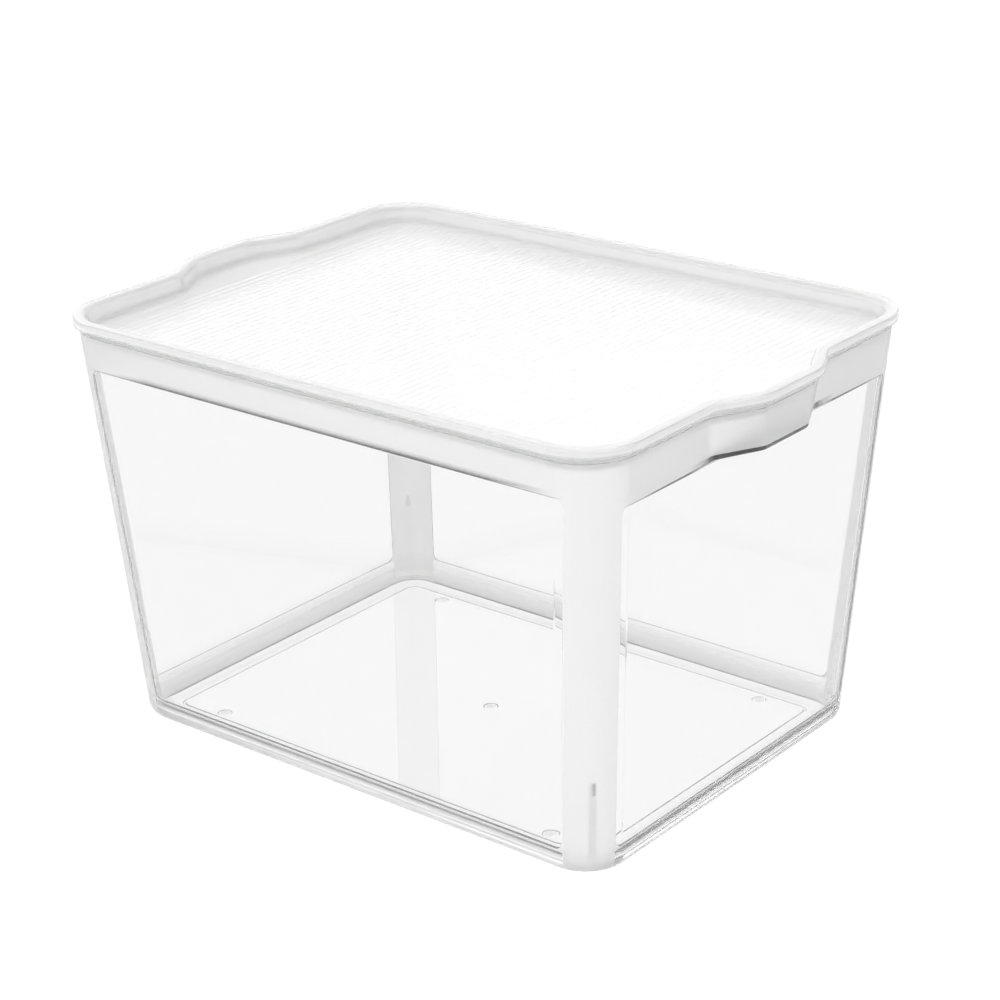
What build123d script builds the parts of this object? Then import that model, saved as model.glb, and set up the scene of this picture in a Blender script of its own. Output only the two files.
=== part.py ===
from build123d import *
import os
from math import atan, sqrt, tan

# Stackable storage bin, in millimetres. X runs along the long side, from handle to handle, Y across,
# and Z up. The origin is the middle of the flat base, on the surface that the bin stands on.

# Overall sizes
HEIGHT = 194.0                  # base to the top of the lid's rim
LID_LENGTH = 300.0              # over the rim's straight ends, without the handle bulges
LID_WIDTH = 234.0
LID_CORNER = 27.0               # plan radius of the rim's corners
BASE_LENGTH = 268.0             # the wall's outer size at the base, before its rounded edge
BASE_WIDTH = 198.8
BASE_CORNER = 20.5

# Handle bulges: a shallow trapezium pushed out of each short end
HANDLE_REACH = 11.0             # how far the bulge stands out of the end
HANDLE_ROOT = 41.5              # half width where it leaves the end, at the rim
HANDLE_TIP = 20.0               # half width of its flat face, at the rim
HANDLE_ROOT_LOW = 37.0          # the same two at the foot of the bulge
HANDLE_TIP_LOW = 15.4
ROOT_RADIUS = 7.0
TIP_RADIUS = 24.0
HANDLE_FOOT = 168.0             # height of the bulge's underside

# Lid: a tray whose rim caps the tub's edge
RIM_TOP = 1.8                   # thickness of the rim's flat top
RIM_SKIRT = 4.1                 # height of the rim's outer face
RIM_SKIRT_WALL = 1.5
RIM_OUTER_ROUND = 0.8
RIM_INNER_ROUND = 2.5
TRAY_WALL = 1.4
TRAY_DEPTH = 9.0                # rim top down to the plate
TRAY_GAP = 0.3                  # between the tray's outside and the tub's wall
PLATE = 1.6
PLATE_ROUND = 1.2

# Tub
TUB_HEIGHT = HEIGHT - RIM_TOP   # the lid's rim rests on the tub's edge
RIM_OVERHANG = 2.2              # the lid's rim stands out past the tub's wall by this much
WALL = 2.4
FLOOR = 3.0
BASE_ROUND = 5.2                # outer edge round the base
FLOOR_ROUND = 8.0               # inner edge round the floor
LIP_HEIGHT = 5.2                # smooth lip at the tub's edge, stepped in from the band below it
LIP_STEP = 0.4

# Clear panels, sunk into the walls between the corner columns and the top band
PANEL_SINK = 0.8
PANEL_CORNER = 4.0
PANEL_LOW = 11.0                # height of the panels' lower edge
SIDE_PANEL_TOP = 172.0
SIDE_PANEL_HALF_LOW = 117.5     # half widths of the long sides' panels, at their foot and top
SIDE_PANEL_HALF_TOP = 129.5
END_PANEL_TOP = 167.0
END_PANEL_HALF_LOW = 86.0       # and of the ends' panels
END_PANEL_HALF_TOP = 96.0

# Corner ribs inside the tub, which stop nested tubs from jamming
RIB_THICK = 2.0
RIB_HEIGHT = 44.5
RIB_SHOULDER = 39.0             # the rib's top slopes from the wall down to this height
RIB_FROM_WALL = 6.3             # outer corner to the rib's free edge, along the diagonal

# Underside
GROOVE_INSET = 15.0             # shallow groove round the underside
GROOVE_WIDTH = 2.0
GROOVE_DEPTH = 0.5              # of the groove and of the marks
MARK_RADIUS = 3.4               # round moulding marks
MARK_X = 94.5
MARK_Y = 78.0

CUT_MARGIN = 1.0                # how far cutting solids reach past the surface that they cut


def between(low, high, share):
    return low + (high - low) * share


def inset_bulge(root, tip, inset):
    """Half widths of a bulge's root and tip when its outline is offset inwards."""
    ramp_turn = atan(HANDLE_REACH / (root - tip))
    shift = inset * tan(ramp_turn / 2)
    return root - shift, tip - shift


def rounded_box(half_x, half_y, corner, z, inset=0.0):
    """Rounded rectangle at height z, offset inwards by inset."""
    x, y = half_x - inset, half_y - inset
    points = [(x, y), (-x, y), (-x, -y), (x, -y)]
    return Pos(0, 0, z) * make_face(FilletPolyline(*points, radius=corner - inset, close=True))


def handled_box(half_x, half_y, corner, root, tip, overhang, z, inset=0.0):
    """The same with a handle bulge at each end, root and tip wide at its ramps' two ends. overhang is
    how far this outline already lies inside the lid's rim, which sets the radii of the bulge's bends."""
    x, y = half_x - inset, half_y - inset
    out = x + HANDLE_REACH
    root, tip = inset_bulge(root, tip, inset)
    root_radius, tip_radius = ROOT_RADIUS + overhang + inset, TIP_RADIUS - overhang - inset
    points = [(x, y), (-x, y), (-x, root), (-out, tip), (-out, -tip), (-x, -root),
              (-x, -y), (x, -y), (x, -root), (out, -tip), (out, tip), (x, root)]
    corners = [corner - inset] * 2
    bulge = [root_radius, tip_radius, tip_radius, root_radius]
    wire = FilletPolyline(*points, radius=corners + bulge + corners + bulge, close=True)
    return Pos(0, 0, z) * make_face(wire)


def lid_outline(z, inset=0.0):
    return handled_box(LID_LENGTH / 2, LID_WIDTH / 2, LID_CORNER, HANDLE_ROOT, HANDLE_TIP, 0, z, inset)


def wall_size(z):
    """Half length, half width and corner radius of the tub's outer wall at height z."""
    share = z / TUB_HEIGHT
    return (between(BASE_LENGTH / 2, LID_LENGTH / 2 - RIM_OVERHANG, share),
            between(BASE_WIDTH / 2, LID_WIDTH / 2 - RIM_OVERHANG, share),
            between(BASE_CORNER, LID_CORNER - RIM_OVERHANG, share))


def tub_outline(z, inset=0.0):
    return rounded_box(*wall_size(z), z, inset)


def handle_outline(z, inset=0.0):
    """The tub's outer wall with its bulges, which follow the lid's rim at the top."""
    share = (z - HANDLE_FOOT) / (TUB_HEIGHT - HANDLE_FOOT)
    root_high, tip_high = inset_bulge(HANDLE_ROOT, HANDLE_TIP, RIM_OVERHANG)
    root = between(HANDLE_ROOT_LOW, root_high, share)
    tip = between(HANDLE_TIP_LOW, tip_high, share)
    return handled_box(*wall_size(z), root, tip, RIM_OVERHANG, z, inset)


def loft_between(section, low, high, inset=0.0):
    """Straight-sided solid between two heights of a section function."""
    return loft([section(low, inset), section(high, inset)], ruled=True)


def edges_at(solid, z):
    """Edges that lie in the level plane at height z."""
    return solid.edges().filter_by_position(Axis.Z, z - 0.001, z + 0.001)


def panel_prism(half_low, half_top, top, reach, plane):
    """Round-cornered prism that passes through both of two opposite walls."""
    points = [(-half_low, PANEL_LOW), (half_low, PANEL_LOW), (half_top, top), (-half_top, top)]
    window = make_face(FilletPolyline(*points, radius=PANEL_CORNER, close=True))
    return extrude(plane * window, amount=reach, both=True)


def corner_rib():
    """Upright fin on the diagonal of the corner at +X +Y. u runs outwards along that diagonal from the
    middle of the corner's plan radius at the base."""
    base_x, base_y, base_r = wall_size(0)
    shoulder_x, shoulder_y, shoulder_r = wall_size(RIB_SHOULDER)
    drift = ((shoulder_x - shoulder_r) - (base_x - base_r) + (shoulder_y - shoulder_r) - (base_y - base_r))
    low = base_r - RIB_FROM_WALL
    shoulder = drift / sqrt(2) + shoulder_r - RIB_FROM_WALL
    past_wall = shoulder + RIB_FROM_WALL
    inside_wall = past_wall - WALL
    profile = make_face(Polyline((low, 0), (past_wall, 0), (past_wall, RIB_HEIGHT),
                                 (inside_wall, RIB_HEIGHT), (shoulder, RIB_SHOULDER), close=True))
    fin = extrude(Plane.XZ * profile, amount=RIB_THICK / 2, both=True)
    return Pos(base_x - base_r, base_y - base_r, 0) * Rot(0, 0, 45) * fin


def make_tub():
    outer = loft_between(tub_outline, 0, HANDLE_FOOT)
    outer = fillet(edges_at(outer, 0), BASE_ROUND)
    outer = outer + loft_between(handle_outline, HANDLE_FOOT, TUB_HEIGHT)

    bulge_floor = HANDLE_FOOT + WALL
    cavity = loft_between(tub_outline, FLOOR, bulge_floor, WALL)
    cavity = fillet(edges_at(cavity, FLOOR), FLOOR_ROUND)
    cavity = cavity + loft_between(handle_outline, bulge_floor, TUB_HEIGHT, WALL)
    rib = corner_rib()
    for fin in (rib, mirror(rib, Plane.YZ), mirror(rib, Plane.XZ), mirror(mirror(rib, Plane.YZ), Plane.XZ)):
        cavity = cavity - fin
    tub = outer - cavity

    # Sunk panels: the layer of wall that lies inside each window is taken off
    layer = (loft_between(tub_outline, 0, TUB_HEIGHT, -CUT_MARGIN)
             - loft_between(tub_outline, 0, TUB_HEIGHT, PANEL_SINK))
    side_windows = panel_prism(SIDE_PANEL_HALF_LOW, SIDE_PANEL_HALF_TOP, SIDE_PANEL_TOP, LID_WIDTH, Plane.XZ)
    end_windows = panel_prism(END_PANEL_HALF_LOW, END_PANEL_HALF_TOP, END_PANEL_TOP, LID_LENGTH, Plane.YZ)
    tub = tub - (layer & side_windows) - (layer & end_windows)

    # Smooth lip at the edge
    lip_foot = TUB_HEIGHT - LIP_HEIGHT
    lip_step = (loft_between(handle_outline, lip_foot, TUB_HEIGHT, -CUT_MARGIN)
                - loft_between(handle_outline, lip_foot, TUB_HEIGHT, LIP_STEP))
    tub = tub - lip_step

    # Underside: a shallow groove and round moulding marks
    groove = (extrude(tub_outline(0, GROOVE_INSET), GROOVE_DEPTH)
              - extrude(tub_outline(0, GROOVE_INSET + GROOVE_WIDTH), GROOVE_DEPTH))
    tub = tub - groove
    mark = Cylinder(MARK_RADIUS, GROOVE_DEPTH, align=(Align.CENTER, Align.CENTER, Align.MIN))
    for x, y in ((0, 0), (MARK_X, MARK_Y), (-MARK_X, MARK_Y), (-MARK_X, -MARK_Y), (MARK_X, -MARK_Y)):
        tub = tub - Pos(x, y, 0) * mark
    return tub


def make_lid():
    rim_foot = HEIGHT - RIM_SKIRT
    rim = extrude(lid_outline(rim_foot), RIM_SKIRT)
    rim = fillet(edges_at(rim, HEIGHT), RIM_OUTER_ROUND)
    rim = rim - extrude(lid_outline(rim_foot, RIM_SKIRT_WALL), RIM_SKIRT - RIM_TOP)

    # The tray hangs inside the tub's edge, and keeps the same gap all the way down
    tray_outside = WALL + TRAY_GAP
    plate_top = HEIGHT - TRAY_DEPTH
    tray_foot = plate_top - PLATE
    inside_rim = HEIGHT - RIM_TOP / 2
    tray = loft_between(handle_outline, tray_foot, inside_rim, tray_outside)
    tray = fillet(edges_at(tray, tray_foot), PLATE_ROUND)
    hollow = loft_between(handle_outline, plate_top, HEIGHT, tray_outside + TRAY_WALL)
    lid = rim + tray - hollow
    rim_face = lid.faces().sort_by(Axis.Z)[-1]
    return fillet(rim_face.inner_wires()[0].edges(), RIM_INNER_ROUND)


if __name__ == "__main__":
    os.makedirs("parts", exist_ok=True)
    export_step(make_tub(), "parts/tub.step")
    export_step(make_lid(), "parts/lid.step")
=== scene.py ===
from math import atan, cos, radians, sin, tan

import bmesh
import bpy
import numpy as np
from mathutils import Matrix, Vector
from mathutils.geometry import delaunay_2d_cdt


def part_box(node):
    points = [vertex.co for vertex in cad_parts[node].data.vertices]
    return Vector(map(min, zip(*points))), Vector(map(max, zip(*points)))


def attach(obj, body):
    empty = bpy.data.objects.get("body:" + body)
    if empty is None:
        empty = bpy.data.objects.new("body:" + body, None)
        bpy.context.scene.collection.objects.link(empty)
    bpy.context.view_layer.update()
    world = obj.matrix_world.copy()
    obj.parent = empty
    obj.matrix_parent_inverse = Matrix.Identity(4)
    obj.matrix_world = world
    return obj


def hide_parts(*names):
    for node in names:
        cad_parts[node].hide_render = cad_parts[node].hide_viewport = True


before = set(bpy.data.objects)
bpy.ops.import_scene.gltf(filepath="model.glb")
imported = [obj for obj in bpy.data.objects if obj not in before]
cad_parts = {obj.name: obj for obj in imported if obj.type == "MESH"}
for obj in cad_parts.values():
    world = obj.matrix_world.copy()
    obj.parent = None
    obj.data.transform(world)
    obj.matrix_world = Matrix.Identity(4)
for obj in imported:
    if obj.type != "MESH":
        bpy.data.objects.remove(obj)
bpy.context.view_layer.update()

MM = 0.001

# The bin's sizes in millimetres, as in the CAD. The largest come from the frame.
LID_TOP_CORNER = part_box("lid")[1] / MM
HANDLE_REACH = 11.0
HEIGHT = LID_TOP_CORNER.z
TUB_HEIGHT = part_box("tub")[1].z / MM
LID_HALF_X = LID_TOP_CORNER.x - HANDLE_REACH
LID_HALF_Y = LID_TOP_CORNER.y
LID_CORNER = 27.0
RIM_OVERHANG = 2.2
BASE_HALF_X = 134.0
BASE_HALF_Y = 99.4
BASE_CORNER = 20.5

# Handle bulges
HANDLE_ROOT = 41.5
HANDLE_TIP = 20.0
HANDLE_ROOT_LOW = 37.0
HANDLE_TIP_LOW = 15.4
ROOT_RADIUS = 7.0
TIP_RADIUS = 24.0
TUB_TIP_RADIUS = 8.0            # the tub's bulge is bent more sharply than the lid's rim
LEAST_RADIUS = 1.0              # of the bulge's outer bends, however far in the outline lies
HANDLE_FOOT = 168.0
LEDGE_ROUND = 1.2               # the ledge's outer edge
LEDGE_FILLET = 0.5              # where the ledge meets the wall

# Tub
WALL = 2.4
FLOOR = 3.0
BASE_ROUND = 5.2
FLOOR_ROUND = 8.0
LIP_HEIGHT = 5.2
LIP_STEP = 0.4
LIP_BEND = ((-0.1, 0.04), (0.0, 0.15), (0.1, 0.35), (0.2, LIP_STEP))     # the step's heights and insets
EDGE_ROUND = 0.5
SUPPORT = 0.3                   # narrow flat strip beside a rounding, which keeps the flat's shading even
PANEL_SINK = 0.8
PANEL_BEVEL = 0.7
PANEL_CORNER = 4.0
PANEL_LOW = 11.0
SIDE_PANEL_TOP = 172.0
SIDE_PANEL_HALVES = (117.5, 129.5)
END_PANEL_TOP = 167.0
END_PANEL_HALVES = (86.0, 96.0)
CORNER_RIB_THICK = 1.3
CORNER_RIB_SIDE = 0.3           # each side of the rib slopes over this width
RIB_HEIGHT = 44.5
RIB_SHOULDER = 39.0
RIB_REACH = 6.3
GROOVE_INSET = 15.0
GROOVE_WIDTH = 2.0
GROOVE_DEPTH = 0.5              # of the marks too
GROOVE_SIDE = 0.3               # the groove's sides slope over this width
UNDERSIDE_INSET = GROOVE_INSET + GROOVE_WIDTH + SUPPORT
MARK_RADIUS = 3.4
MARK_EDGE = 0.12                # bevel at a mark's edge
MARK_SIDE = 0.3
MARK_X = 94.5
MARK_Y = 78.0

# How the tub's finish and its painted shade are laid out
BASE_CLEAR = 1.5                # the corner columns' frosting ends this far above the base
FROST_EDGE = 0.28               # the frosting dies away over this depth inside a panel
SHADE_LINE_HALF = 0.9                 # half the thickness, at its middle, of the painted shade line along a panel's top edge
SHADE_FADE = 0.3                 # the painted shade lines and the ledges' painted shade fade over this height
LEDGE_SHADE_START = 0.6                # the painted shade under a ledge starts this far under it
UPRIGHT_SHADE = 0.5              # how deep the painted shade along the end panels' upright edges is
UPRIGHT_SHADE_HALF = 0.4              # half the width of those painted shade lines
TICK_SHADE_HALF = 0.35                # the rib's sloping top shows through the wall as a small tick, painted as shade on the outer wall
TICK_SHADE_FADE = 0.4
TICK_SHADE = 0.5
BASE_FADE = 2.0                 # the base edge's finish fades into the wall's over this height
FLOOR_FADE = 0.5                # and the floor's into its rounding's
FLOOR_EDGE_FADE = 3.0           # and that into the wall's

# Lid
RIM_TOP = 1.8
RIM_SKIRT = 4.1
RIM_SKIRT_WALL = 1.5
RIM_OUTER_ROUND = 0.8
BEND_SHADE_MIDDLE, BEND_SHADE_HALF = 0.7, 0.3       # where up the outer rounding its painted shade line lies
RIM_INNER_ROUND = 2.5
SKIRT_EDGE = 0.3
TRAY_WALL = 1.4
TRAY_DEPTH = 9.0
TRAY_GAP = 0.3
TRAY_OUTSIDE = WALL + TRAY_GAP
PLATE = 1.6
PLATE_ROUND = 1.2
PLATE_FILLET = 0.8
RIM_CLEARANCE = 0.05            # between the rim and the tub's edge, on which it rests
MARKS_PAST_CORNER = 3.0         # where the lid's stations are finest, past the start of its corners
LID_MARKS = tuple(half - LID_CORNER + MARKS_PAST_CORNER for half in (LID_HALF_Y, LID_HALF_X))
RIB_PITCH = 4.17                # of the plate's fine ribs
RIB_RISE = 0.15
RIB_SAMPLES = 10                # columns to each rib
RIB_FADE = 2.0                  # the ribs die away over this length
RIB_MARGIN = 2.0                # flat edge round the ribbed field

# How finely the outlines are divided
NEAR_EDGE = 5.0                 # the panels' edges and corners have fine columns and rows this far in
BEVEL_IN, BEVEL_OUT = 1.2, 0.4          # and still finer ones this far in and out
EDGE_STEPS = np.concatenate([np.linspace(-NEAR_EDGE, -BEVEL_IN, 12)[:-1],
                             np.linspace(-BEVEL_IN, BEVEL_OUT, 12)])
FINE_ABOVE, FINE_BELOW = 1.0, 2.0       # the inside has fine rows this far past the corner ribs' sloping tops
BEND_STEPS = np.linspace(0, 1, 9)
RAMP_STEPS = np.linspace(0, 1, 4)[1:-1]
FLAT_STEPS = np.linspace(0, 1, 5)[:-1]
END_STEPS = np.linspace(0, 1, 5)[1:-1]
CORNER_STEPS = np.linspace(0, 1, 22)[1:-1]

# Stations of a quarter of an outline: the handle's half, the rest of the end, the corner and half the side
HANDLE_COUNT = len(FLAT_STEPS) + 2 * len(BEND_STEPS) + len(RAMP_STEPS)
END_COUNT = len(END_STEPS) + len(EDGE_STEPS)
SIDE_COUNT = len(EDGE_STEPS) + len(FLAT_STEPS)
CORNER_START = HANDLE_COUNT + END_COUNT
CORNER_END = CORNER_START + len(CORNER_STEPS)
CORNER_MIDDLE = (CORNER_START + CORNER_END) // 2
STATIONS = CORNER_END + SIDE_COUNT
PAST_EDGE = int(np.sum(EDGE_STEPS > 0))
FILL_SPACING = 9.0              # between the points inside a flat face
MARK_SPACING = 1.2
FILL_CLEAR = 0.4                # share of the spacing kept free along a flat face's outline
MARK_STEPS = 48
FADE_STEPS = 5                  # rows over which the plate's ribs die away
NO_DISTANCE = 1e-12
SAME_POINT = 1e-6               # millimetres
MERGE_DISTANCE = 2e-6           # metres

# Camera: turned from the front towards +X, looking down on the bin
CAMERA_TURN = radians(39.09)
CAMERA_TILT = radians(22.04)
CAMERA_ROLL = radians(-1.2)
CAMERA_DISTANCE = 1172.6 * MM
CAMERA_TARGET = Vector((7.33, 0, 106.07)) * MM
CAMERA_LENS, CAMERA_SENSOR = 94.88, 36.0
CAMERA_NEAR, CAMERA_FAR = 0.01, 100.0

# Finishes: how grained each is, how hazy, and its tone. Most tones are the plastic's own; the lowered tones
# marked below are painted shade
FINISH_PARTS = ("frost", "haze", "tone")
CLEAR = np.array([0, 0.03, 0.975])
FLOOR_CLEAR = np.array([0, 0.08, 1])
MARK = np.array([0, 0.3, 0.93])
BASE_EDGE = np.array([0, 0.36, 1])
# painted shade: the lower tone here darkens the base's rounding towards its foot
BASE_FOOT_SHADE = np.array([0, 0.45, 0.84])
FLOOR_EDGE = np.array([0, 0.2, 1])
FROSTED = np.array([1, 0.43, 1])
# painted shade: near-black tone for the lines that refraction in sharp edges darkens in clear plastic
PAINTED_SHADE = np.array([0, 0, 0.03])
RIM = np.array([0, 0.5, 1])
# painted shade: a faint darker line part way up the rim's outer rounding, standing in for a reflection's edge
RIM_BEND_SHADE = np.array([0, 0.4, 0.93])
# painted shade: the skirt's foot darker, at the gap between lid and tub
SKIRT_FOOT_SHADE = np.array([0, 0.2, 0.8])
TRAY_SIDE = np.array([0, 0.4, 1])
PLATE_TOP = np.array([0, 0.62, 0.96])
PLATE_FOOT = np.array([0, 0.3, 1])

# Studio
FLOOR_SIZE = 60.0
FLOOR_DROP = 0.0003             # below the base, so that the two faces don't coincide
FLOOR_GLOW = 1.02
TENT_BRIGHT = 1.55
TENT_DIM = 0.8
DIM_SIDE = (0.85, 0.25, -0.45)
DIM_START, DIM_END = -0.2, 0.9  # how far towards the dim side the tent starts and stops dimming
LIGHT_BOUNCES = 32              # light is guided a long way inside clear plastic

# Plastic
PLASTIC_IOR = 1.49
ABSORPTION = 0.5                # per metre
FROST_ROUGHNESS = 0.65
GRAIN = 0.4                     # millimetres
GRAIN_HEIGHT = 0.06
GRAIN_DETAIL = 2
GRAIN_LOW, GRAIN_HIGH = 0.3, 0.7
SPECKLE = 0.05                  # how much darker the grain's low places are


def between(low, high, share):
    return low + (high - low) * share


def smooth(share):
    share = np.clip(share, 0, 1)
    return share * share * (3 - 2 * share)


def wall_size(z):
    """Half length, half width and corner radius of the tub's outer wall at height z."""
    share = z / TUB_HEIGHT
    return (between(BASE_HALF_X, LID_HALF_X - RIM_OVERHANG, share),
            between(BASE_HALF_Y, LID_HALF_Y - RIM_OVERHANG, share),
            between(BASE_CORNER, LID_CORNER - RIM_OVERHANG, share))


def panel_half(halves, top, z):
    """Half width of a panel at height z."""
    return between(*halves, (z - PANEL_LOW) / (top - PANEL_LOW))


def bulge_size(z):
    """Half widths of the tub's bulge at its root and tip, on the wall's outer outline at height z."""
    share = max((z - HANDLE_FOOT) / (TUB_HEIGHT - HANDLE_FOOT), 0)
    shift = RIM_OVERHANG * tan(atan(HANDLE_REACH / (HANDLE_ROOT - HANDLE_TIP)) / 2)
    return (between(HANDLE_ROOT_LOW, HANDLE_ROOT - shift, share),
            between(HANDLE_TIP_LOW, HANDLE_TIP - shift, share))


def quarter(size, bulge_root, bulge_tip, marks, root_radius, tip_radius, inset=0.0, bulge=1.0):
    """x and y at the stations of a quarter of an outline, from the middle of the end at +X to the middle of
    the side at +Y. marks are the half widths where the panels end. inset may differ from station to station,
    and bulge is how far the handle stands out, from 0 to 1."""
    half_x, half_y, corner = size
    turn = atan(HANDLE_REACH / (bulge_root - bulge_tip))
    inset = np.broadcast_to(np.asarray(inset, float), (STATIONS,))
    near = inset[0]
    shift = near * tan(turn / 2)
    tip_radius = max(tip_radius - near, LEAST_RADIUS)
    root_radius = root_radius + near
    tip_start = bulge_tip - shift - tip_radius * tan(turn / 2)
    root_end = bulge_root - shift + root_radius * tan(turn / 2)
    tip_turn, root_turn = turn * BEND_STEPS, turn * BEND_STEPS[::-1]
    tip_y = tip_start + tip_radius * np.sin(tip_turn)
    tip_out = HANDLE_REACH - tip_radius * (1 - np.cos(tip_turn))
    root_y = root_end - root_radius * np.sin(root_turn)
    root_out = root_radius * (1 - np.cos(root_turn))
    ramp_y = between(tip_y[-1], root_y[0], RAMP_STEPS)
    ramp_out = between(tip_out[-1], root_out[0], RAMP_STEPS)
    bulge_y = np.concatenate([tip_start * FLAT_STEPS, tip_y, ramp_y, root_y])
    bulge_out = np.concatenate([np.full(len(FLAT_STEPS), HANDLE_REACH), tip_out, ramp_out, root_out])

    # Along the end, round the corner and along the side, as places on the outer outline
    end_mark, side_mark = marks
    end_y = np.concatenate([between(root_end, end_mark - NEAR_EDGE, END_STEPS), end_mark + EDGE_STEPS])
    side_x = np.concatenate([(side_mark + EDGE_STEPS)[::-1], (side_mark - NEAR_EDGE) * FLAT_STEPS[::-1]])
    centre_x, centre_y = half_x - corner, half_y - corner
    end_turn = np.arcsin(np.clip((end_y - centre_y) / corner, 0, 1))
    side_turn = np.pi / 2 - np.arcsin(np.clip((side_x - centre_x) / corner, 0, 1))
    corner_turn = between(end_turn[-1], side_turn[0], CORNER_STEPS)
    angle = np.concatenate([end_turn, corner_turn, side_turn])
    rounding = corner - inset[HANDLE_COUNT:]
    x = centre_x + rounding * np.cos(angle)
    y = centre_y + rounding * np.sin(angle)
    y[:END_COUNT] = np.where(end_turn > 0, y[:END_COUNT], end_y)
    x[-SIDE_COUNT:] = np.where(side_turn < np.pi / 2, x[-SIDE_COUNT:], side_x)
    x = np.concatenate([half_x - near + bulge * bulge_out, x])
    y = np.concatenate([bulge_y, y])
    return x, y


def whole(values, flip):
    """A quarter's values carried round the whole outline; flip gives their signs in the four quarters."""
    back = values[::-1]
    parts = values, back[1:], values[1:], back[1:-1]
    return np.concatenate([sign * part for sign, part in zip(flip, parts)])


def ring(x, y, z):
    """Points round the whole outline at height z."""
    x, y = whole(x, (1, -1, -1, 1)), whole(y, (1, 1, -1, -1))
    return np.stack([x, y, np.full(len(x), float(z))], axis=1)


def panel_depth(place, z, halves, top):
    """Distance inside a round-cornered panel that widens upwards; negative outside it."""
    slant = atan((halves[1] - halves[0]) / (top - PANEL_LOW))
    across = (panel_half(halves, top, z) - abs(place)) * cos(slant)
    along = np.minimum(z - PANEL_LOW, top - z)
    cut_across, cut_along = PANEL_CORNER - across, PANEL_CORNER - along
    in_corner = (cut_across > 0) & (cut_along > 0)
    return np.where(in_corner, PANEL_CORNER - np.hypot(cut_across, cut_along), np.minimum(across, along))


def tub_quarter(z, inset=0.0, bulge=1.0):
    """A quarter of the tub's outline at height z."""
    end_mark = panel_half(END_PANEL_HALVES, END_PANEL_TOP, z)
    side_mark = panel_half(SIDE_PANEL_HALVES, SIDE_PANEL_TOP, z)
    radii = ROOT_RADIUS + RIM_OVERHANG, TUB_TIP_RADIUS
    return quarter(wall_size(z), *bulge_size(z), (end_mark, side_mark), *radii, inset, bulge)


def tub_panel_depth(z):
    """How far inside a panel each station of the wall lies at height z."""
    x, y = tub_quarter(z, 0, 0)
    end = panel_depth(y, z, END_PANEL_HALVES, END_PANEL_TOP)
    side = panel_depth(x, z, SIDE_PANEL_HALVES, SIDE_PANEL_TOP)
    return np.where(np.arange(STATIONS) < CORNER_MIDDLE, end, side)


def arc(start, end, steps, radius):
    """(out, up) offsets from a rounding's centre; angles in degrees."""
    return [(radius * cos(a), radius * sin(a)) for a in np.radians(np.linspace(start, end, steps))]


def fill(outer, holes, spacing):
    """Triangles that fill a flat outline, with inner points on a grid and holes left open. Returns the inner
    points and the triangles, whose numbers count outer's points first, then the holes' and then the inner
    ones."""
    loops = [outer] + holes
    points, edges = [], []
    for loop in loops:
        start = len(points)
        points += [tuple(p) for p in loop]
        edges += [(start + i, start + (i + 1) % len(loop)) for i in range(len(loop))]
    low, high = outer.min(0), outer.max(0)
    xs = np.arange(low[0] + spacing / 2, high[0], spacing)
    ys = np.arange(low[1] + spacing / 2, high[1], spacing)
    grid = np.stack(np.meshgrid(xs, ys), axis=-1).reshape(-1, 2)
    keep = inside(grid, outer) & clear_of(grid, outer, spacing * FILL_CLEAR)
    for hole in holes:
        keep &= ~inside(grid, hole) & clear_of(grid, hole, spacing * FILL_CLEAR)
    extra = grid[keep]
    spots = np.array(points + [tuple(p) for p in extra])
    _, _, faces, sources, *_ = delaunay_2d_cdt([Vector(p) for p in spots], edges, [], 0, SAME_POINT)
    triangles = np.array([[sources[v][0] for v in face] for face in faces])
    middles = spots[triangles].mean(1)
    keep = inside(middles, outer)
    for hole in holes:
        keep &= ~inside(middles, hole)
    return extra, triangles[keep]


def inside(points, loop):
    """Which points lie inside a closed outline."""
    a, b = loop, np.roll(loop, -1, axis=0)
    rise = np.where(b[:, 1] == a[:, 1], NO_DISTANCE, b[:, 1] - a[:, 1])
    px, py = points[:, :1], points[:, 1:]
    crosses = (a[None, :, 1] > py) != (b[None, :, 1] > py)
    left = px < a[None, :, 0] + ((b[:, 0] - a[:, 0]) / rise)[None] * (py - a[None, :, 1])
    return (crosses & left).sum(1) % 2 == 1


def clear_of(points, loop, margin):
    """Which points lie at least margin away from the outline's own points."""
    distance = np.hypot(points[:, :1] - loop[None, :, 0], points[:, 1:] - loop[None, :, 1])
    return distance.min(axis=1) > margin


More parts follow.
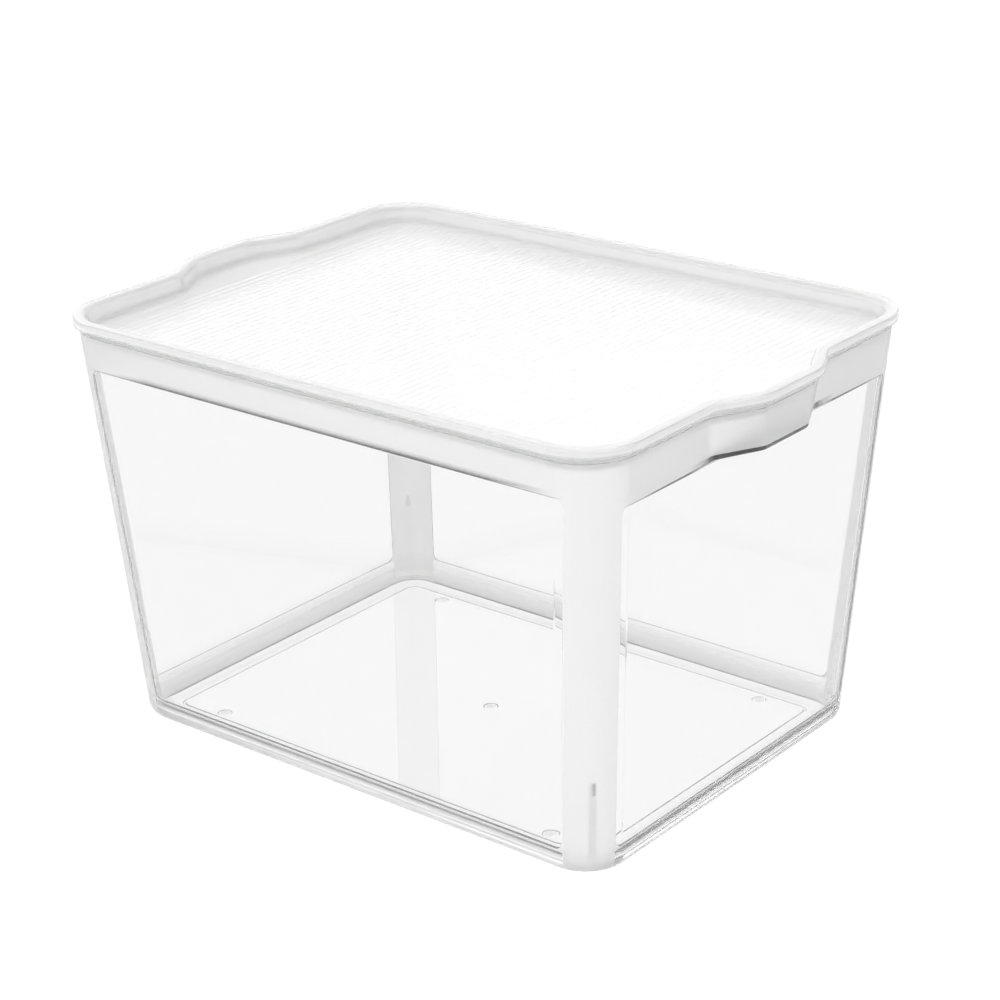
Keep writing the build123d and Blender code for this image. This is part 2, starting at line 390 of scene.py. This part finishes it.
class Builder:
    """Points in millimetres, each with its surface's finish, whose tone also carries painted shade, and the
    faces between them.
    """

    def __init__(self):
        self.points, self.finishes, self.faces = [], [], []
        self.count = 0

    def add_points(self, points, finish):
        self.points.append(np.asarray(points, float))
        self.finishes.append(np.broadcast_to(finish, (len(points), len(FINISH_PARTS))))
        start = self.count
        self.count += len(points)
        return start

    def add_faces(self, faces):
        self.faces += np.asarray(faces).tolist()

    def join_rings(self, low, high, count):
        i = np.arange(count)
        j = (i + 1) % count
        self.add_faces(np.stack([low + i, low + j, high + j, high + i], axis=1))

    def add_fill(self, numbers, loop, z, spacing, finish, holes=(), hole_numbers=()):
        """Fills a loop of numbered points, leaving out the holes' loops."""
        extra, triangles = fill(loop[:, :2], [hole[:, :2] for hole in holes], spacing)
        start = self.add_points(np.column_stack([extra, np.full(len(extra), z)]), finish)
        numbers = np.concatenate([numbers, *hole_numbers, start + np.arange(len(extra))])
        self.add_faces(numbers[triangles])

    def make(self, name, body, material):
        mesh = bpy.data.meshes.new(name)
        mesh.from_pydata((np.concatenate(self.points) * MM).tolist(), [], self.faces)
        mesh.materials.append(material)
        for label, values in zip(FINISH_PARTS, np.concatenate(self.finishes).T):
            attribute = mesh.attributes.new(label, "FLOAT", "POINT")
            attribute.data.foreach_set("value", values)
        shape = bmesh.new()
        shape.from_mesh(mesh)
        bmesh.ops.remove_doubles(shape, verts=shape.verts, dist=MERGE_DISTANCE)
        bmesh.ops.dissolve_degenerate(shape, edges=shape.edges, dist=MERGE_DISTANCE / 2)
        bmesh.ops.recalc_face_normals(shape, faces=shape.faces)
        for face in shape.faces:
            face.smooth = True
        shape.to_mesh(mesh)
        shape.free()
        piece = bpy.data.objects.new(name, mesh)
        bpy.context.scene.collection.objects.link(piece)
        piece.modifiers.new("even_normals", "WEIGHTED_NORMAL")
        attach(piece, body)
        return piece


def tub_outer_rows():
    """(height, inset, bulge share) up the outside, from the base's round to the top edge."""
    rows = [(BASE_ROUND + up, BASE_ROUND - out, 0) for out, up in arc(-90, 0, 13, BASE_ROUND)]
    low_edge = PANEL_LOW - EDGE_STEPS[::-1]
    rows += [(z, 0, 0) for z in low_edge]
    rows += [(z, 0, 0) for z in np.linspace(low_edge[-1], RIB_SHOULDER - TICK_SHADE_FADE, 4)[1:-1]]
    rows += [(z, 0, 0) for z in (RIB_SHOULDER - TICK_SHADE_FADE, RIB_SHOULDER, RIB_HEIGHT, RIB_HEIGHT + TICK_SHADE_FADE)]
    rows += [(z, 0, 0) for z in np.linspace(RIB_HEIGHT + TICK_SHADE_FADE, END_PANEL_TOP - NEAR_EDGE, 11)[1:-1]]
    rows += [(z, 0, 0) for z in END_PANEL_TOP + EDGE_STEPS]
    for out, up in arc(180, 90, 4, LEDGE_FILLET):
        rows.append((HANDLE_FOOT - LEDGE_FILLET + up, 0, (LEDGE_FILLET + out) / HANDLE_REACH))
    for out, up in arc(-90, 0, 7, LEDGE_ROUND):
        rows.append((HANDLE_FOOT + LEDGE_ROUND + up, 0, 1 - (LEDGE_ROUND - out) / HANDLE_REACH))
    rows += [(z, 0, 1) for z in SIDE_PANEL_TOP + EDGE_STEPS if z > rows[-1][0]]
    lip_foot = TUB_HEIGHT - LIP_HEIGHT
    rows += [(z, 0, 1) for z in np.linspace(rows[-1][0], lip_foot - SUPPORT, 7)[1:]]
    rows += [(lip_foot + up, inset, 1) for up, inset in LIP_BEND]
    for out, up in arc(0, 90, 5, EDGE_ROUND):
        rows.append((TUB_HEIGHT - EDGE_ROUND + up, LIP_STEP + EDGE_ROUND - out, 1))
    return rows


def tub_inner_rows():
    """The same down the inside, from the top edge to the floor."""
    rows = []
    for back, up in arc(90, 0, 5, EDGE_ROUND):
        rows.append((TUB_HEIGHT - EDGE_ROUND + up, WALL - EDGE_ROUND + back, 1))
    bulge_floor = HANDLE_FOOT + WALL
    rows += [(z, WALL, 1) for z in np.linspace(rows[-1][0], bulge_floor + LEDGE_ROUND, 5)[1:-1]]
    for out, up in arc(0, -90, 6, LEDGE_ROUND):
        rows.append((bulge_floor + LEDGE_ROUND + up, WALL, 1 - (LEDGE_ROUND - out) / HANDLE_REACH))
    for out, up in arc(90, 180, 5, LEDGE_ROUND):
        rows.append((bulge_floor - LEDGE_ROUND + up, WALL, (LEDGE_ROUND + out) / HANDLE_REACH))
    fine_top, fine_foot = RIB_HEIGHT + FINE_ABOVE, RIB_SHOULDER - FINE_BELOW
    rows += [(z, WALL, 0) for z in np.linspace(rows[-1][0], fine_top + FINE_ABOVE, 12)[1:]]
    rows += [(z, WALL, 0) for z in np.linspace(fine_top, fine_foot, 18)]
    rows += [(z, WALL, 0) for z in np.linspace(fine_foot, FLOOR + FLOOR_ROUND, 6)[1:-1]]
    for out, up in arc(0, -90, 17, FLOOR_ROUND):
        rows.append((FLOOR + FLOOR_ROUND + up, WALL + FLOOR_ROUND - out, 0))
    return rows


def from_corner(z, x, y):
    """Place from the centre of the corner's rounding at height z, and distance from the corner's diagonal."""
    half_x, half_y, corner = wall_size(z)
    from_x, from_y = x - (half_x - corner), y - (half_y - corner)
    return from_x, from_y, abs(from_x - from_y) / np.sqrt(2)


def rib_inset(z, x, y):
    """How far in from the outer wall the corner rib's face lies at each station; 0 where there is none."""
    from_x, from_y, aside = from_corner(z, x, y)
    slope = (RIB_HEIGHT - z) / (RIB_HEIGHT - RIB_SHOULDER)
    reach = between(WALL, RIB_REACH, np.clip(slope, 0, 1)) if z < RIB_HEIGHT else 0.0
    fin = smooth(((CORNER_RIB_THICK + CORNER_RIB_SIDE) / 2 - aside) / CORNER_RIB_SIDE)
    return np.where((from_x > 0) & (from_y > 0), reach * fin, 0)


def tub_finish_and_shade(z, depth):
    """The outside's finish and painted shade at each station of a row, which lies depth inside a panel. The
    band and the corner columns are frosted. Along the panels' top edges, the end panels' upright edges, the
    ledges under the handles and the ribs' sloping tops, shade is painted as a near-black tone; the base's
    rounding is painted darker towards its foot."""
    station = np.arange(STATIONS)
    column = (station >= CORNER_START - PAST_EDGE) & (station < CORNER_END + PAST_EDGE)
    frosted = column.astype(float) if z < PANEL_LOW else 1 - smooth(depth / FROST_EDGE)
    if z < BASE_CLEAR or z > TUB_HEIGHT - LIP_HEIGHT:
        frosted = np.zeros(STATIONS)
    x, y = tub_quarter(z, 0, 0)
    on_end = station < CORNER_MIDDLE
    top = np.where(on_end, END_PANEL_TOP, SIDE_PANEL_TOP)
    half = np.where(on_end, END_PANEL_HALVES[1], SIDE_PANEL_HALVES[1])
    place = np.where(on_end, y, x) / half
    # painted shade line along each panel's top edge, thickest at its middle
    shade_half = SHADE_LINE_HALF * np.sqrt(np.clip(1 - place ** 2, 0, 1))
    painted_shade = smooth((shade_half - abs(z - top - shade_half / 2)) / SHADE_FADE)
    handle = on_end & (y < HANDLE_ROOT)
    # painted shade under the handle's ledge
    ledge_shade = smooth((z - HANDLE_FOOT + LEDGE_SHADE_START) / SHADE_FADE) * smooth((HANDLE_FOOT + WALL - z) / SHADE_FADE)
    painted_shade = np.where(handle, ledge_shade, painted_shade)
    # painted shade along the end panels' upright edges
    upright = on_end & (z < END_PANEL_TOP - PANEL_CORNER) & (z > PANEL_LOW + PANEL_CORNER)
    painted_shade = np.where(upright, UPRIGHT_SHADE * smooth(1 - abs(depth - UPRIGHT_SHADE_HALF) / UPRIGHT_SHADE_HALF), painted_shade)
    # painted shade: a small tick over each rib's sloping top
    if RIB_SHOULDER <= z <= RIB_HEIGHT:
        aside = from_corner(z, x, y)[2]
        tick_shade = TICK_SHADE * np.clip(1 - (aside - TICK_SHADE_HALF) / TICK_SHADE_FADE, 0, 1) * column
        painted_shade = np.maximum(painted_shade, tick_shade)

    # painted shade: the base's rounding darker towards its foot
    edge = between(BASE_FOOT_SHADE, BASE_EDGE, smooth(z / BASE_ROUND))
    plain = between(edge, CLEAR, smooth((z - BASE_ROUND) / BASE_FADE))
    finish = between(plain, FROSTED, frosted[:, None])
    # the painted shade's near-black tone is laid over the finish here
    return between(finish, PAINTED_SHADE, painted_shade[:, None])


def make_tub(plastic):
    build = Builder()
    rings = []
    for z, inset in ((0, UNDERSIDE_INSET), (0, GROOVE_INSET + GROOVE_WIDTH),
                     (GROOVE_DEPTH, GROOVE_INSET + GROOVE_WIDTH - GROOVE_SIDE),
                     (GROOVE_DEPTH, GROOVE_INSET + GROOVE_SIDE), (0, GROOVE_INSET),
                     (0, BASE_ROUND + SUPPORT)):
        x, y = tub_quarter(0, inset, 0)
        rings.append((ring(x, y, z), FLOOR_CLEAR))
    for z, inset, bulge in tub_outer_rows():
        depth = tub_panel_depth(z)
        sink = PANEL_SINK * smooth(depth / PANEL_BEVEL)
        x, y = tub_quarter(z, inset + sink, bulge)
        finish = [whole(values, (1, 1, 1, 1)) for values in tub_finish_and_shade(z, depth).T]
        rings.append((ring(x, y, z), np.stack(finish, axis=1)))
    for z, inset, bulge in tub_inner_rows():
        x, y = tub_quarter(z, 0, 0)
        inset = np.maximum(inset, rib_inset(z, x, y))
        x, y = tub_quarter(z, inset, bulge)
        finish = between(FLOOR_CLEAR, FLOOR_EDGE, smooth((z - FLOOR) / FLOOR_FADE))
        finish = between(finish, CLEAR, smooth((z - FLOOR - FLOOR_ROUND) / FLOOR_EDGE_FADE))
        rings.append((ring(x, y, z), finish))
    x, y = tub_quarter(FLOOR, WALL + FLOOR_ROUND + SUPPORT, 0)
    rings.append((ring(x, y, FLOOR), FLOOR_CLEAR))
    starts = [build.add_points(*row) for row in rings]
    count = len(rings[0][0])
    for low, high in zip(starts, starts[1:]):
        build.join_rings(low, high, count)

    # Underside's middle with its marks, and the floor inside
    marks, mark_numbers = [], []
    turns = np.linspace(0, 2 * np.pi, MARK_STEPS, endpoint=False)
    round_loop = np.stack([np.cos(turns), np.sin(turns)], axis=1)
    for place in ((0, 0), (MARK_X, MARK_Y), (-MARK_X, MARK_Y), (-MARK_X, -MARK_Y), (MARK_X, -MARK_Y)):
        loops = []
        for radius, z in ((MARK_RADIUS + SUPPORT, 0), (MARK_RADIUS, 0), (MARK_RADIUS - MARK_EDGE, MARK_EDGE),
                          (MARK_RADIUS - MARK_SIDE, GROOVE_DEPTH),
                          (MARK_RADIUS - MARK_SIDE - SUPPORT, GROOVE_DEPTH)):
            loop = np.column_stack([round_loop * radius + place, np.full(MARK_STEPS, z)])
            loops.append((build.add_points(loop, FLOOR_CLEAR) + np.arange(MARK_STEPS), loop))
        for (low, _), (high, _) in zip(loops, loops[1:]):
            build.join_rings(low[0], high[0], MARK_STEPS)
        build.add_fill(*loops[-1], GROOVE_DEPTH, MARK_SPACING, MARK)
        mark_numbers.append(loops[0][0])
        marks.append(loops[0][1])
    numbers = np.arange(count)
    build.add_fill(starts[0] + numbers, rings[0][0], 0, FILL_SPACING, FLOOR_CLEAR, marks, mark_numbers)
    build.add_fill(starts[-1] + numbers, rings[-1][0], FLOOR, FILL_SPACING, FLOOR_CLEAR)
    tub = build.make("bin_tub", "tub", plastic)
    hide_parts("tub")


def rim_ring(z, inset):
    """Points round the rim's outline, moved in by inset."""
    size = (LID_HALF_X, LID_HALF_Y, LID_CORNER)
    return ring(*quarter(size, HANDLE_ROOT, HANDLE_TIP, LID_MARKS, ROOT_RADIUS, TIP_RADIUS, inset), z)


def tray_ring(z, inset):
    """The same for the tray, whose insets are from the tub wall's outer outline."""
    radii = ROOT_RADIUS + RIM_OVERHANG, TIP_RADIUS - RIM_OVERHANG
    return ring(*quarter(wall_size(z), *bulge_size(z), LID_MARKS, *radii, inset), z)


def lid_rings():
    """Round the lid's section, as (points, finish): from the plate's top face up the tray's wall, over the
    rim and down its skirt, back under the rim and down outside the tray to the plate's underside."""
    plate_top = HEIGHT - TRAY_DEPTH
    inner = TRAY_OUTSIDE + TRAY_WALL
    rings = [(tray_ring(plate_top, inner + PLATE_FILLET + SUPPORT), PLATE_TOP)]
    for out, up in arc(-90, 0, 5, PLATE_FILLET):
        rings.append((tray_ring(plate_top + PLATE_FILLET + up, inner + PLATE_FILLET - out), PLATE_TOP))
    for z in np.linspace(plate_top + PLATE_FILLET, HEIGHT - RIM_INNER_ROUND, 6)[1:-1]:
        rings.append((tray_ring(z, inner), TRAY_SIDE))
    for out, up in arc(180, 90, 10, RIM_INNER_ROUND):
        finish = between(TRAY_SIDE, RIM, smooth(up / RIM_INNER_ROUND))
        rings.append((tray_ring(HEIGHT - RIM_INNER_ROUND + up, inner - RIM_INNER_ROUND - out), finish))
    # painted shade: a faint darker line part way up the rim's outer rounding
    for out, up in arc(90, 0, 6, RIM_OUTER_ROUND):
        bend_shade = smooth(1 - abs(up / RIM_OUTER_ROUND - BEND_SHADE_MIDDLE) / BEND_SHADE_HALF)
        finish = between(RIM, RIM_BEND_SHADE, bend_shade)
        rings.append((rim_ring(HEIGHT - RIM_OUTER_ROUND + up, RIM_OUTER_ROUND - out), finish))
    foot = HEIGHT - RIM_SKIRT
    for z in np.linspace(HEIGHT - RIM_OUTER_ROUND, foot + SKIRT_EDGE, 4)[1:-1]:
        rings.append((rim_ring(z, 0), RIM))
    # painted shade: the skirt's foot darker, at the gap between lid and tub
    for out, up in arc(0, -90, 4, SKIRT_EDGE):
        rings.append((rim_ring(foot + SKIRT_EDGE + up, SKIRT_EDGE - out), SKIRT_FOOT_SHADE))
    for out, up in arc(-90, -180, 4, SKIRT_EDGE):
        rings.append((rim_ring(foot + SKIRT_EDGE + up, RIM_SKIRT_WALL - SKIRT_EDGE - out), CLEAR))
    ceiling = HEIGHT - RIM_TOP + RIM_CLEARANCE
    for out, up in arc(0, 90, 4, SKIRT_EDGE):
        rings.append((rim_ring(ceiling - SKIRT_EDGE + up, RIM_SKIRT_WALL + SKIRT_EDGE - out), RIM))
    for out, up in arc(90, 180, 4, SKIRT_EDGE):
        rings.append((tray_ring(ceiling - SKIRT_EDGE + up, TRAY_OUTSIDE - SKIRT_EDGE - out), RIM))
    tray_foot = plate_top - PLATE
    for z in np.linspace(ceiling - SKIRT_EDGE, tray_foot + PLATE_ROUND, 5)[1:-1]:
        rings.append((tray_ring(z, TRAY_OUTSIDE), TRAY_SIDE))
    for out, up in arc(0, -90, 7, PLATE_ROUND):
        rings.append((tray_ring(tray_foot + PLATE_ROUND + up, TRAY_OUTSIDE + PLATE_ROUND - out), PLATE_TOP))
    rings.append((tray_ring(tray_foot, TRAY_OUTSIDE + PLATE_ROUND + SUPPORT), PLATE_FOOT))
    return rings


def ribbed_field(build, z):
    """The plate's ribbed field, whose fine ribs run along Y and die away at its edge. Returns the numbers of
    its border's points, in order."""
    reach_in = TRAY_OUTSIDE + TRAY_WALL + PLATE_FILLET + RIB_MARGIN
    half_x, half_y, corner = (size - reach_in for size in wall_size(z))
    waves = int(half_x / RIB_PITCH)
    half_x = waves * RIB_PITCH
    x = np.linspace(-half_x, half_x, 2 * waves * RIB_SAMPLES + 1)
    past = np.clip(abs(x) - (half_x - corner), 0, corner)
    reach = half_y - corner + np.sqrt(corner ** 2 - past ** 2)
    fade = np.linspace(0, RIB_FADE, FADE_STEPS)
    y = np.stack([d - reach for d in fade] + [reach * 0] + [reach - d for d in fade[::-1]])
    share = smooth(np.stack([reach - abs(row) for row in y]) / RIB_FADE)
    height = RIB_RISE * share * (1 - np.cos(2 * np.pi * x / RIB_PITCH)) / 2
    points = np.stack([np.broadcast_to(x, y.shape), y, z + height], axis=-1)
    number = build.add_points(points.reshape(-1, 3), PLATE_TOP) + np.arange(y.size).reshape(y.shape)
    faces = np.stack([number[:-1, :-1], number[:-1, 1:], number[1:, 1:], number[1:, :-1]], axis=-1)
    build.add_faces(faces.reshape(-1, 4))
    return np.concatenate([number[0], number[1:, -1], number[-1, -2::-1], number[-2:0:-1, 0]])


def make_lid(plastic):
    build = Builder()
    rings = lid_rings()
    starts = [build.add_points(*row) for row in rings]
    top, foot = rings[0][0], rings[-1][0]
    for low, high in zip(starts, starts[1:]):
        build.join_rings(low, high, len(top))
    plate_top = HEIGHT - TRAY_DEPTH
    border = ribbed_field(build, plate_top)
    places = np.concatenate(build.points)[border]
    numbers = np.arange(len(top))
    build.add_fill(starts[0] + numbers, top, plate_top, FILL_SPACING, PLATE_TOP, [places], [border])
    build.add_fill(starts[-1] + numbers, foot, plate_top - PLATE, FILL_SPACING, PLATE_FOOT)
    lid = build.make("bin_lid", "lid", plastic)
    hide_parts("lid")


def add_camera():
    """Camera at the photograph's viewing angle."""
    level = cos(CAMERA_TILT)
    back = Vector((sin(CAMERA_TURN) * level, -cos(CAMERA_TURN) * level, sin(CAMERA_TILT)))
    right = Vector((cos(CAMERA_TURN), sin(CAMERA_TURN), 0))
    up = back.cross(right)
    rolled_right = right * cos(CAMERA_ROLL) + up * sin(CAMERA_ROLL)
    rolled_up = up * cos(CAMERA_ROLL) - right * sin(CAMERA_ROLL)
    data = bpy.data.cameras.new("camera")
    data.lens = CAMERA_LENS
    data.sensor_width = CAMERA_SENSOR
    data.clip_start = CAMERA_NEAR
    data.clip_end = CAMERA_FAR
    camera = bpy.data.objects.new("camera", data)
    turn = Matrix((rolled_right, rolled_up, back)).transposed().to_4x4()
    camera.matrix_world = Matrix.Translation(CAMERA_TARGET + back * CAMERA_DISTANCE) @ turn
    bpy.context.scene.collection.objects.link(camera)
    bpy.context.scene.camera = camera


def new_material(name):
    material = bpy.data.materials.new(name)
    material.use_nodes = True
    material.node_tree.nodes.clear()
    return material, material.node_tree.nodes, material.node_tree.links


def add_floor():
    """A plain white floor that glows, so that light comes up through the clear base."""
    half = FLOOR_SIZE / 2
    corners = [(-half, -half, 0), (half, -half, 0), (half, half, 0), (-half, half, 0)]
    mesh = bpy.data.meshes.new("floor")
    mesh.from_pydata(corners, [], [(0, 1, 2, 3)])
    floor = bpy.data.objects.new("floor", mesh)
    floor.location.z = -FLOOR_DROP
    bpy.context.scene.collection.objects.link(floor)
    material, nodes, links = new_material("floor_white")
    output = nodes.new("ShaderNodeOutputMaterial")
    glow = nodes.new("ShaderNodeEmission")
    glow.inputs["Strength"].default_value = FLOOR_GLOW
    links.new(glow.outputs["Emission"], output.inputs["Surface"])
    mesh.materials.append(material)


def add_world():
    """A white tent, dimmer towards one side."""
    world = bpy.data.worlds.new("studio")
    bpy.context.scene.world = world
    world.use_nodes = True
    nodes, links = world.node_tree.nodes, world.node_tree.links
    nodes.clear()
    output = nodes.new("ShaderNodeOutputWorld")
    background = nodes.new("ShaderNodeBackground")
    coordinates = nodes.new("ShaderNodeTexCoord")
    towards = nodes.new("ShaderNodeVectorMath")
    towards.operation = "DOT_PRODUCT"
    towards.inputs[1].default_value = DIM_SIDE
    ramp = nodes.new("ShaderNodeMapRange")
    ramp.interpolation_type = "SMOOTHSTEP"
    ramp.inputs["From Min"].default_value = DIM_START
    ramp.inputs["From Max"].default_value = DIM_END
    ramp.inputs["To Min"].default_value = TENT_BRIGHT
    ramp.inputs["To Max"].default_value = TENT_DIM
    links.new(coordinates.outputs["Generated"], towards.inputs[0])
    links.new(towards.outputs["Value"], ramp.inputs["Value"])
    links.new(ramp.outputs["Result"], background.inputs["Strength"])
    links.new(background.outputs["Background"], output.inputs["Surface"])


def add_plastic():
    """Clear plastic whose grain, haze and tone follow the mesh's finish; the tone also carries painted shade
    lines and darker edges.
    """
    material, nodes, links = new_material("clear_plastic")
    output = nodes.new("ShaderNodeOutputMaterial")
    surface = nodes.new("ShaderNodeBsdfPrincipled")
    surface.inputs["IOR"].default_value = PLASTIC_IOR
    frost, haze, tone = (nodes.new("ShaderNodeAttribute") for _ in FINISH_PARTS)
    for node, label in zip((frost, haze, tone), FINISH_PARTS):
        node.attribute_name = label
    for source, socket, low, high in ((frost, "Roughness", 0.0, FROST_ROUGHNESS),
                                      (haze, "Transmission Weight", 1.0, 0.0)):
        scale = nodes.new("ShaderNodeMapRange")
        scale.inputs["To Min"].default_value = low
        scale.inputs["To Max"].default_value = high
        links.new(source.outputs["Fac"], scale.inputs["Value"])
        links.new(scale.outputs["Result"], surface.inputs[socket])

    grain = nodes.new("ShaderNodeTexNoise")
    grain.inputs["Scale"].default_value = 1 / (GRAIN * MM)
    grain.inputs["Detail"].default_value = GRAIN_DETAIL
    place = nodes.new("ShaderNodeTexCoord")
    bump = nodes.new("ShaderNodeBump")
    bump.inputs["Distance"].default_value = GRAIN_HEIGHT * MM
    links.new(place.outputs["Object"], grain.inputs["Vector"])
    links.new(grain.outputs["Fac"], bump.inputs["Height"])
    links.new(frost.outputs["Fac"], bump.inputs["Strength"])
    links.new(bump.outputs["Normal"], surface.inputs["Normal"])

    speckle = nodes.new("ShaderNodeMapRange")
    speckle.inputs["From Min"].default_value = GRAIN_LOW
    speckle.inputs["From Max"].default_value = GRAIN_HIGH
    speckle.inputs["To Min"].default_value = -SPECKLE
    speckle.inputs["To Max"].default_value = 0
    speckled = nodes.new("ShaderNodeMath")
    speckled.operation = "MULTIPLY_ADD"
    links.new(grain.outputs["Fac"], speckle.inputs["Value"])
    links.new(speckle.outputs["Result"], speckled.inputs[0])
    links.new(frost.outputs["Fac"], speckled.inputs[1])
    links.new(tone.outputs["Fac"], speckled.inputs[2])
    links.new(speckled.outputs["Value"], surface.inputs["Base Color"])

    inside_plastic = nodes.new("ShaderNodeVolumeAbsorption")
    inside_plastic.inputs["Color"].default_value = (0, 0, 0, 1)
    inside_plastic.inputs["Density"].default_value = ABSORPTION
    links.new(surface.outputs["BSDF"], output.inputs["Surface"])
    links.new(inside_plastic.outputs["Volume"], output.inputs["Volume"])
    return material


add_camera()
add_floor()
add_world()
bpy.context.scene.view_settings.view_transform = "Standard"
for limit in ("max_bounces", "diffuse_bounces", "glossy_bounces", "transmission_bounces"):
    setattr(bpy.context.scene.cycles, limit, LIGHT_BOUNCES)
clear_plastic = add_plastic()
make_tub(clear_plastic)
make_lid(clear_plastic)
